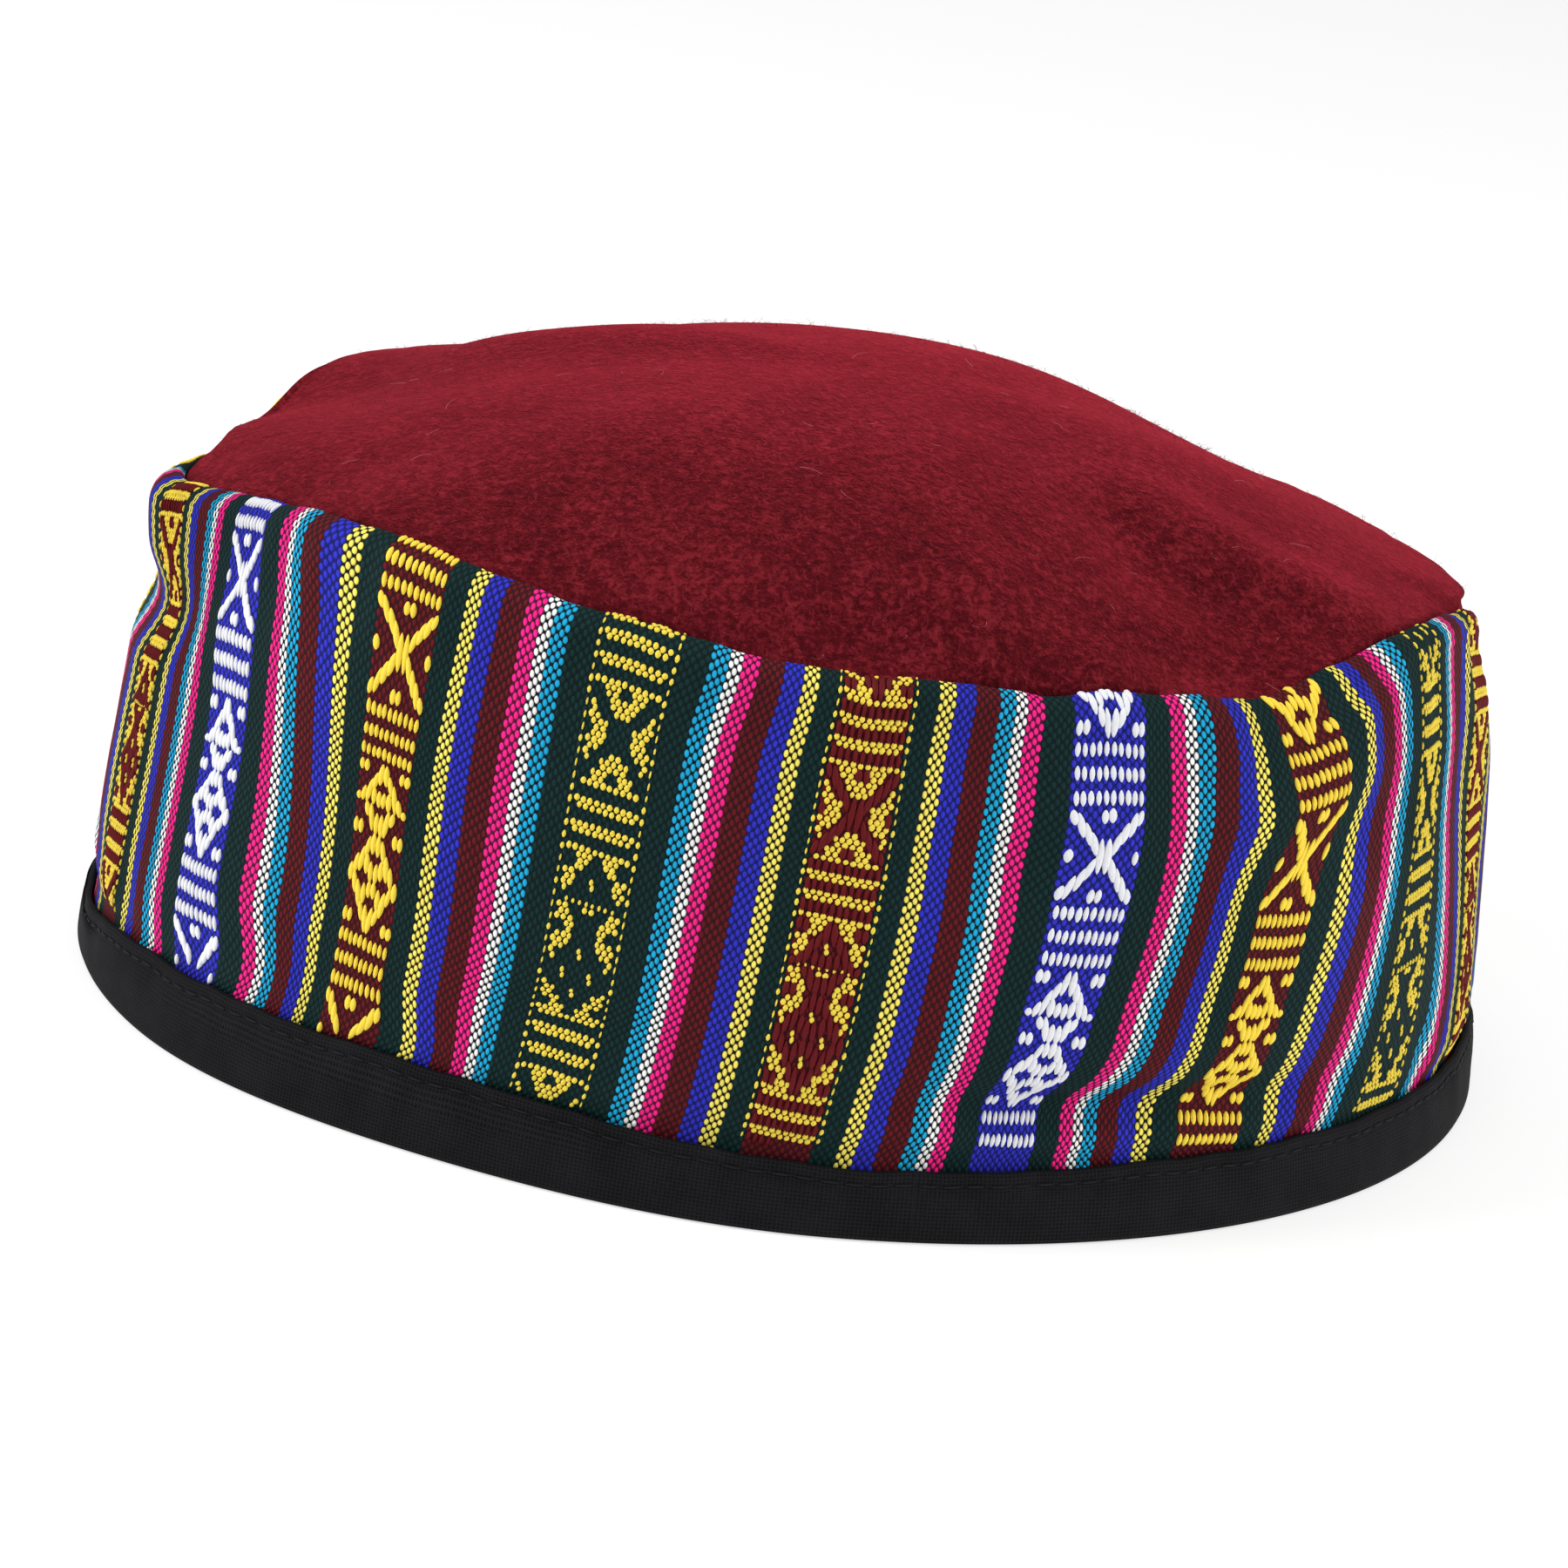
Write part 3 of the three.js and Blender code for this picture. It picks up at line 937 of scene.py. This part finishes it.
def felt_crown(finish):
    """One soft dome of felt, turned down inside the band."""
    turns = np.arange(AROUND_CROWN) * 360 / AROUND_CROWN
    gathers, waves = FELT_GATHER * ripple(turns, SEAM_GATHERS), ripple(turns, FELT_WAVES)
    rings = [felt_point(turns, share, -FELT_UPRIGHT) for share in TOWARDS_TOP[::-1][::2]]
    for out, up in FELT_EDGE:
        height = seam_height(turns) + swell(turns, SEAM_LIFT) + up
        rings.append(np.stack([*seam_point(turns, out), height], -1))
    for share in (*NEAR_EDGE, *TOWARDS_TOP):
        gathered = gathers * ease(share, *FELT_GATHERED)
        waved = waves * ease(1 - share, *FELT_WAVED) * share
        rings.append(felt_point(turns, share, gathered + waved))
    middles = [felt_point(0.0, 0.0, lift).reshape(1, 3) for lift in (-FELT_UPRIGHT, 0.0)]
    points = np.concatenate(rings + middles)
    under, over = len(points) - 2, len(points) - 1
    faces = ring_faces(len(rings), AROUND_CROWN, False)[0]
    last = under - AROUND_CROWN
    for j in range(AROUND_CROWN):
        k = (j + 1) % AROUND_CROWN
        faces.append([under, k, j])
        faces.append([over, last + j, last + k])
    made = piece("felt_crown", points, faces, [finish])
    hand_on(made, "crown")


# ---- woven figures ----

FIGURE_COLUMNS = 10
CELL_WIDE = 0.9
LINE = 0.745                  # half of one woven row
REPEAT = 70                   # lines before the chart starts again
PANELS_ROUND = range(-8, 14)  # enough panels to reach round the cap
CROSS_LINE = 19.0             # the middle of the cross on the chart
CROSS_AT = 55.5               # and along the cloth
# The figures are the same either way round, so their columns are counted in from the edge.
# columns, line where the float starts, line where it ends, how far its top leans outward
BARS = tuple(((0, 1, 2, 3, 4), line, line + 2, 0) for line in (0, 4, 8, 28, 32, 36))
CROSS = (
    ((0,), 11.2, 13.4, 0.2), ((1,), 11.6, 15.3, 0.24), ((2,), 13.2, 16.7, 0.24),
    ((3,), 14.9, 18.5, 0.24), ((4,), 16.1, 21.9, 0), ((3,), 19.5, 23.1, -0.24),
    ((2,), 21.3, 24.8, -0.24), ((1,), 22.7, 26.4, -0.24), ((0,), 24.6, 26.8, -0.2),
    ((4,), 11.1, 13.0, 0), ((4,), 25.0, 26.9, 0), ((0,), 18.0, 20.0, 0),
)
TRIANGLE = (
    ((0, 1), 39.4, 41.4, 0), ((4,), 39.1, 43.1, -0.1), ((3,), 41.3, 44.4, -0.2),
    ((2,), 42.7, 47.2, -0.2), ((3,), 44.4, 47.2, 0), ((4,), 44.9, 47.3, 0),
    ((1,), 45.0, 47.3, -0.2), ((0,), 46.4, 47.3, 0),
)
DIAMOND = (
    ((2,), 47.5, 49.5, 0.2), ((3,), 47.5, 51.6, 0.15), ((4,), 48.8, 52.0, 0),
    ((4,), 52.0, 55.2, 0), ((0, 1), 50.8, 52.8, 0), ((3,), 52.7, 56.0, -0.2),
    ((3,), 56.0, 58.9, 0), ((2,), 54.8, 58.9, -0.16), ((1,), 56.5, 59.6, -0.16),
    ((1,), 59.6, 62.7, 0.16), ((0,), 58.5, 61.3, 0), ((4,), 57.0, 60.0, 0),
    ((4,), 60.0, 62.6, 0), ((3,), 60.9, 64.0, 0), ((3,), 64.0, 67.0, 0.2),
    ((2,), 60.9, 65.0, 0.16), ((4,), 64.4, 68.8, 0.1), ((0, 1), 66.2, 68.2, 0),
)
FLOATS = BARS + CROSS + TRIANGLE + DIAMOND
BAR_FLOAT, FIGURE_FLOAT = 0.74, 1.0  # widths
FLOAT_PROUD = 0.62                   # height above the cloth
FLOAT_ENDS = 0.45                    # how much longer a float is than its lines
FLOAT_CLEAR = 0.25                   # lines that dots keep away from its ends
DOT_WIDE, DOT_TALL = 0.82, 0.92
SLIM_DOT, SLIM_ASIDE = 0.68, 0.14  # beside a float: its width, and how far it steps away
DOT_PROUD, DOT_SLANT = 0.45, 0.06
# how far they stray at most, across and along, in width and length and, for a float, in slant
FLOAT_STRAY = np.array((0.05, 0.09, 0.12, 0.05, 0.04))
DOT_STRAY = np.array((0.05, 0.05, 0.12, 0.12))
# column and line of the holes in the figures, and the two dots that show through each:
# further along, line, width and height
HOLES = ((4.2, 44.0), (4.2, 56.1), (2.2, 59.9), (6.4, 59.9), (4.2, 63.5))
HOLE_DOTS = ((0.0, -0.5, 0.6, 0.8), (0.2, 0.5, 0.66, 0.95))
# first line, last line and first column of the places where no other dot shows
CLOSED = ((43, 46, 3), (50, 54, 3.5), (55, 58, 3), (58, 63, 1), (63, 65, 2))
BREAK = (47.4, 0.44, 0.72)  # line where the triangle's floats end, and its dots' width and height
EDGE_COLUMNS = (-0.95, FIGURE_COLUMNS - 0.05)
# The dotted threads there are slim beside a figure, except for every fourth dot.
EDGE_WIDE, EDGE_SLIM, EDGE_TALL = 0.62, 0.32, 0.95
LOWEST_GRAIN = 11.0  # heights on the cloth between which a grain shows
HIGHEST_GRAIN = LIP_START + 6.2
JOIN_CLEAR = 0.8           # degrees that grains keep away from the join
POINTED = 0.2              # how much finer than an egg's a float's ends are
BEDDED = 0.12              # share of a grain's height that it is lifted, so less of it is sunk in
NEXT_STRAND = (1.7, 0.31)  # steps over the yarn, so that no two grains have the same strands


def under_float(column, line):
    """Whether a float covers this column of the chart at this line."""
    column = min(column, FIGURE_COLUMNS - 1 - column)
    return any(
        column in held and start - FLOAT_CLEAR < line < end + FLOAT_CLEAR
        for held, start, end, _ in FLOATS
    )


def is_closed(column, line):
    return any(
        start <= line < end and first <= column <= FIGURE_COLUMNS - 1 - first
        for start, end, first in CLOSED
    )


def ground_dots():
    """Dots set like bricks round the floats, with one fewer on each odd line."""
    dots = []
    for line in range(REPEAT):
        middle, odd = line + 0.5, line % 2
        for column in range(FIGURE_COLUMNS - odd):
            left, right = under_float(column, middle), under_float(column + odd, middle)
            if (left and right) or is_closed(column + odd / 2, middle):
                continue
            width = SLIM_DOT if left or right else DOT_WIDE
            aside = SLIM_ASIDE * (left - right)
            dots.append((column + odd / 2 + aside, middle, width, DOT_TALL))
    return dots


def chart_dots():
    """Column, line, width and height of each dot of one repeat."""
    dots = ground_dots()
    for column, line in HOLES:
        dots.extend((column + on, line + up, wide, tall) for on, up, wide, tall in HOLE_DOTS)
    dots.extend((column, *BREAK) for column in range(1, FIGURE_COLUMNS - 1))
    for line in range(0, REPEAT, 2):
        beside = any(under_float(column, line + 0.5) for column in range(FIGURE_COLUMNS))
        width = EDGE_SLIM if beside and line % 8 != 4 else EDGE_WIDE
        dots.extend((column, line + 1, width, EDGE_TALL) for column in EDGE_COLUMNS)
    return dots


def repeats(panel):
    """The middle of each panel of one kind, with each repeat of the chart up it."""
    first = PANELS.index(panel)
    middles = [PANEL_EVERY * k for k in PANELS_ROUND if k % len(PANELS) == first]
    return [(middle, repeat) for middle in middles for repeat in (-1, 0, 1)]


def grain(sides, lengths):
    """A closed round grain, one unit across, with its two ends along the cloth."""
    drop_selection()
    bpy.ops.mesh.primitive_uv_sphere_add(segments=sides, ring_count=lengths, radius=0.5)
    made = bpy.context.object
    bpy.ops.object.mode_set(mode="EDIT")
    bpy.ops.mesh.select_all(action="SELECT")
    bpy.ops.transform.rotate(value=math.pi / 2, orient_axis="X", center_override=(0, 0, 0))
    bpy.ops.object.mode_set(mode="OBJECT")
    points = np.array([point.co[:] for point in made.data.vertices])
    faces = [list(face.vertices) for face in made.data.polygons]
    bpy.data.objects.remove(made)
    return points, faces


def joined_grains(name, laid, faces, strands, finish):
    """One mesh of many copies of a grain, from each copy's points and their places on the yarn."""
    copies, count = laid.shape[:2]
    all_faces = [[k * count + i for i in face] for k in range(copies) for face in faces]
    made = piece(name, laid.reshape(-1, 3), all_faces, [finish])
    corner = [i for face in faces for i in face]
    lay_map(made, "strand", strands[0][:, corner].ravel(), strands[1][:, corner].ravel())
    hand_on(made)


def laid_grains(name, cloth, places, shape, finish):
    """Copies of one grain laid on the cloth: across, along, width, length, height, slant."""
    points, faces = shape
    across, along, wide, long, tall, slant = places.T[..., None]
    share = 2 * points[None, :, 1]
    pointed = np.clip(1 - share * share, 0, 1) ** POINTED
    y = share * long / 2
    x = points[None, :, 0] * pointed * wide + y * slant
    z = (points[None, :, 2] + BEDDED) * tall
    laid = cloth.lay(np.stack([across + x, along + y, z], -1))
    number = np.arange(len(places))[:, None]
    strands = (points[None, :, 0] + number * NEXT_STRAND[0], y + number * NEXT_STRAND[1])
    joined_grains(name, laid, faces, strands, finish)


def on_show(cloth, places):
    """Those of the places that lie whole between the tape and the seam."""
    places = np.array(places)
    shown = np.ones(len(places), bool)
    for end in (-0.5, 0.5):
        across, along = places[:, 0], places[:, 1] + end * places[:, 3]
        height = cloth.read(cloth.height, across, along)
        angle = cloth.read(cloth.angle, across, along)
        shown &= (height > LOWEST_GRAIN) & (height < HIGHEST_GRAIN)
        shown &= (angle > ROUND[0] + JOIN_CLEAR) & (angle < ROUND[-1] - JOIN_CLEAR)
    return places[shown]


def across_at(column, middle):
    return middle + (column - (FIGURE_COLUMNS - 1) / 2) * CELL_WIDE


def along_at(line, repeat):
    return CROSS_AT + (CROSS_LINE - line - repeat * REPEAT) * LINE


def float_places(panel, cloth, chance, slim):
    """Across, along, width, length, height and slant of each float of one kind of panel."""
    places = []
    for middle, repeat in repeats(panel):
        for columns, start, end, lean in FLOATS:
            along = along_at((start + end) / 2, repeat)
            length = (end - start) * LINE + FLOAT_ENDS
            width = slim * (BAR_FLOAT if len(columns) == FIGURE_COLUMNS / 2 else FIGURE_FLOAT)
            for column in columns:
                for side, place in ((-1, column), (1, FIGURE_COLUMNS - 1 - column)):
                    stray = FLOAT_STRAY * chance.uniform(-1, 1, 5)
                    places.append((
                        across_at(place, middle) + stray[0], along + stray[1],
                        width * (1 + stray[2]), length * (1 + stray[3]),
                        FLOAT_PROUD, side * lean + stray[4],
                    ))
    return on_show(cloth, places)


def dot_places(panel, cloth, chance):
    """The dots that fill a panel round its figures, and a dotted thread at each edge."""
    places = []
    dots = chart_dots()
    for middle, repeat in repeats(panel):
        for column, line, width, tall in dots:
            stray = DOT_STRAY * chance.uniform(-1, 1, 4)
            places.append((
                across_at(column, middle) + stray[0], along_at(line, repeat) + stray[1],
                width * (1 + stray[2]), tall * (1 + stray[3]), DOT_PROUD, DOT_SLANT,
            ))
    return on_show(cloth, places)


# piece, panel, share of a float's usual width, colour, and the darker colour in its hollows, which is
# painted shade
FLOAT_SETS = (
    ("white_floats", "C", 1.0, (250, 250, 250), (206, 208, 216)),
    ("gold_floats", "D", 1.0, (255, 234, 88), (236, 194, 46)),
    ("maroon_floats", "B", 0.9, (112, 14, 22), (74, 8, 14)),
)
DOT_SETS = (("green_panel_dots", "A"), ("maroon_panel_dots", "B"))
FIGURE_SEED = 7


def woven_figures(cloth):
    chance = np.random.default_rng(FIGURE_SEED)
    long_grain = grain(sides=8, lengths=6)
    for name, panel, slim, colour, dark in FLOAT_SETS:
        yarn = thread_finish(name, linear(*colour), linear(*dark))
        laid_grains(name, cloth, float_places(panel, cloth, chance, slim), long_grain, yarn)
    dot = grain(sides=6, lengths=4)
    # its second colour is painted shade in the hollows between the strands
    yellow = thread_finish("yellow_dots", linear(252, 232, 92), linear(222, 188, 54))
    for name, panel in DOT_SETS:
        laid_grains(name, cloth, dot_places(panel, cloth, chance), dot, yellow)


# ---- stitches in the tape ----

STITCHES = 196
STITCH_HIGH = 8.9  # height on the tape
STITCH_LONG = 2.45
STITCH_THICK = 0.34
STITCH_PROUD = 0.02
STITCH_STRANDS = 2.4  # length of yarn that shows along one


def tape_stitches(finish):
    """A row of machine stitches below the tape's upper edge."""
    points, faces = grain(sides=6, lengths=6)
    turns = (np.arange(STITCHES) + 0.5) * 360 / STITCHES
    spots = turns[:, None] + points[None, :, 1] * STITCH_LONG / RIM_LENGTH * 360
    height = STITCH_HIGH + tape_edge(spots) + points[None, :, 0] * STITCH_THICK
    out = STITCH_PROUD + tape_face(spots) + points[None, :, 2] * STITCH_THICK
    laid = wall_point(spots, height / seam_height(spots), out)
    strands = [
        np.tile(points[:, k] * long, (STITCHES, 1)) for k, long in enumerate((1, STITCH_STRANDS))
    ]
    joined_grains("tape_stitches", laid, faces, strands, finish)


# ---- loose fibres of the felt ----

# name, how many, least and most length, thickness, least and most rise, steps
FIBRES = (
    ("felt_fuzz", 3600, (0.5, 1.5), 0.035, (0.3, 1.2), 2),  # stand up all over the crown
    ("felt_hairs", 70, (1.2, 4.2), 0.028, (0.05, 0.4), 8),  # long loose curls
)
FIBRE_SEED = 11
FIBRE_SHARES_SQUARED = (0.0004, 0.93)  # of the way out from the dome's middle
FIBRE_SIDES = 3
FIBRE_ROOT = 0.15  # how deep in the felt a fibre starts
FIBRE_CURL = 3.0   # how far it curls at most, either way, in radians
FIBRE_THINS = 0.6  # share of its thickness that is gone at its tip
FIBRE_SINKS = 1.3  # and of its rise


def felt_spots(chance, count):
    """Random places over the crown, with the way outward at each."""
    angle = chance.uniform(0, 360, count)
    share = np.sqrt(chance.uniform(*FIBRE_SHARES_SQUARED, count))
    spot = felt_point(angle, share)
    aside = felt_point(angle + 0.5, share) - spot
    outward = felt_point(angle, share + 0.01) - spot
    normal = np.cross(outward, aside)
    return spot, normal / np.linalg.norm(normal, axis=1, keepdims=True)


def fibre_points(chance, spot, normal, length, thick, rise, steps):
    """Rings of points along a thin fibre that starts in the felt and curls over it."""
    way = np.cross(normal, chance.normal(size=3))
    way = way / np.linalg.norm(way)
    side = np.cross(normal, way)
    bend = chance.uniform(-1, 1) * FIBRE_CURL
    lift = chance.uniform(*rise)
    at = spot - FIBRE_ROOT * normal
    points = []
    for k in range(steps + 1):
        part = k / steps
        for turn in range(FIBRE_SIDES):
            around = turn * math.tau / FIBRE_SIDES
            out = normal * math.cos(around) + side * math.sin(around)
            points.append(at + thick * (1 - FIBRE_THINS * part) * out)
        heading = way * math.cos(bend * part) + side * math.sin(bend * part)
        up = normal * lift * (1 - FIBRE_SINKS * part)
        at = at + (heading + up) * length / steps
    return points


def fibre_faces(start, steps):
    """The sides and the two ends of a fibre whose points begin at start."""
    faces = []
    for k in range(steps):
        ring = start + FIBRE_SIDES * k
        for turn in range(FIBRE_SIDES):
            here, beside = ring + turn, ring + (turn + 1) % FIBRE_SIDES
            faces.append([here, beside, beside + FIBRE_SIDES, here + FIBRE_SIDES])
    first = list(range(start, start + FIBRE_SIDES))
    return faces + [first[::-1], [i + FIBRE_SIDES * steps for i in first]]


def loose_fibres():
    chance = np.random.default_rng(FIBRE_SEED)
    red = Finish("red_fibres", roughness=0.9, Specular_IOR_Level=0.1, Base_Color=linear(138, 34, 48))
    pale = Finish("pale_fibres", roughness=0.8, Specular_IOR_Level=0.2, Base_Color=linear(206, 132, 138))
    for (name, count, long, thick, rise, steps), finish in zip(FIBRES, (red, pale)):
        spots, normals = felt_spots(chance, count)
        lengths = chance.uniform(*long, count)
        points, faces = [], []
        for spot, normal, length in zip(spots, normals, lengths):
            faces += fibre_faces(len(points), steps)
            points += fibre_points(chance, spot, normal, length, thick, rise, steps)
        made = piece(name, points, faces, [finish.material])
        hand_on(made)


# ---- floor, light and camera ----

CAMERA_TARGET = (-1.45, -4.02, 30.9)
CAMERA_AWAY = 700.0
CAMERA_AZIMUTH = 76.0
CAMERA_ELEVATION = 19.5
CAMERA_ROLL = 8.5
CAMERA_LENS = 110.95
# name, azimuth, elevation, away (mm), size (m), power (W)
LAMPS = (
    ("left", 0, 34, 1100, 0.7, 8.6),
    ("right", 152, 30, 1200, 0.9, 7.2),
    ("over", 80, 84, 1000, 0.8, 1.6),
)
FLOOR_SIZE = 12.0  # m
ROOM_LIGHT = 0.45  # brightness of the room as it lights the cap
WHITE_LIGHT = (1.0, 1.0, 1.0, 1.0)


def towards(azimuth, elevation, away, target=CAMERA_TARGET):
    turn, rise = math.radians(azimuth), math.radians(elevation)
    return Vector((
        target[0] + away * math.sin(turn) * math.cos(rise),
        target[1] - away * math.cos(turn) * math.cos(rise),
        target[2] + away * math.sin(rise),
    )) * MM


def camera():
    lens = bpy.data.cameras.new("camera")
    lens.lens = CAMERA_LENS
    lens.sensor_width = 36.0
    lens.clip_start = 0.01
    lens.clip_end = 50.0
    made = bpy.data.objects.new("camera", lens)
    made.location = towards(CAMERA_AZIMUTH, CAMERA_ELEVATION, CAMERA_AWAY)
    aim = Vector(CAMERA_TARGET) * MM - made.location
    facing = aim.to_track_quat("-Z", "Y")
    facing.rotate(Quaternion(-aim.normalized(), math.radians(CAMERA_ROLL)))
    made.rotation_euler = facing.to_euler()
    bpy.context.scene.collection.objects.link(made)
    bpy.context.scene.camera = made


def soft_light(name, azimuth, elevation, away, size, power):
    lamp = bpy.data.lights.new(name, "AREA")
    lamp.shape = "DISK"
    lamp.size = size
    lamp.energy = power
    made = bpy.data.objects.new(name, lamp)
    made.location = towards(azimuth, elevation, away)
    aim = Vector(CAMERA_TARGET) * MM - made.location
    made.rotation_euler = aim.to_track_quat("-Z", "Y").to_euler()
    bpy.context.scene.collection.objects.link(made)


def pale_floor():
    paper = Finish("floor_paper", roughness=0.9, Base_Color=(0.45, 0.45, 0.45, 1.0),
                   Emission_Color=WHITE_LIGHT, Emission_Strength=0.62)
    drop_selection()
    bpy.ops.mesh.primitive_plane_add(size=FLOOR_SIZE, location=(0, 0, 0))
    floor = bpy.context.object
    floor.name = "floor"
    floor.data.materials.append(paper.material)


def bright_room():
    """A white background that lights the cap less than it shows."""
    room = bpy.data.worlds.new("bright_room")
    room.use_nodes = True
    sky = room.node_tree.nodes["Background"]
    sky.inputs[0].default_value = WHITE_LIGHT
    path = room.node_tree.nodes.new("ShaderNodeLightPath")
    seen = room.node_tree.nodes.new("ShaderNodeMapRange")
    seen.inputs["To Min"].default_value = ROOM_LIGHT
    seen.inputs["To Max"].default_value = 1.0
    room.node_tree.links.new(path.outputs["Is Camera Ray"], seen.inputs["Value"])
    room.node_tree.links.new(seen.outputs[0], sky.inputs[1])
    bpy.context.scene.world = room


def studio():
    pale_floor()
    bright_room()
    for lamp in LAMPS:
        soft_light(*lamp)
    bpy.context.scene.view_settings.view_transform = "Standard"


def main():
    striped_band(striped_finish(), lining_finish())
    rim_tape(tape_finish())
    felt_crown(felt_finish())
    cloth = ClothFace()
    woven_figures(cloth)
    # its second colour is painted shade in the hollows between the strands
    tape_stitches(thread_finish("black_thread", linear(30, 31, 34), linear(12, 12, 14)))
    loose_fibres()
    studio()
    camera()


main()
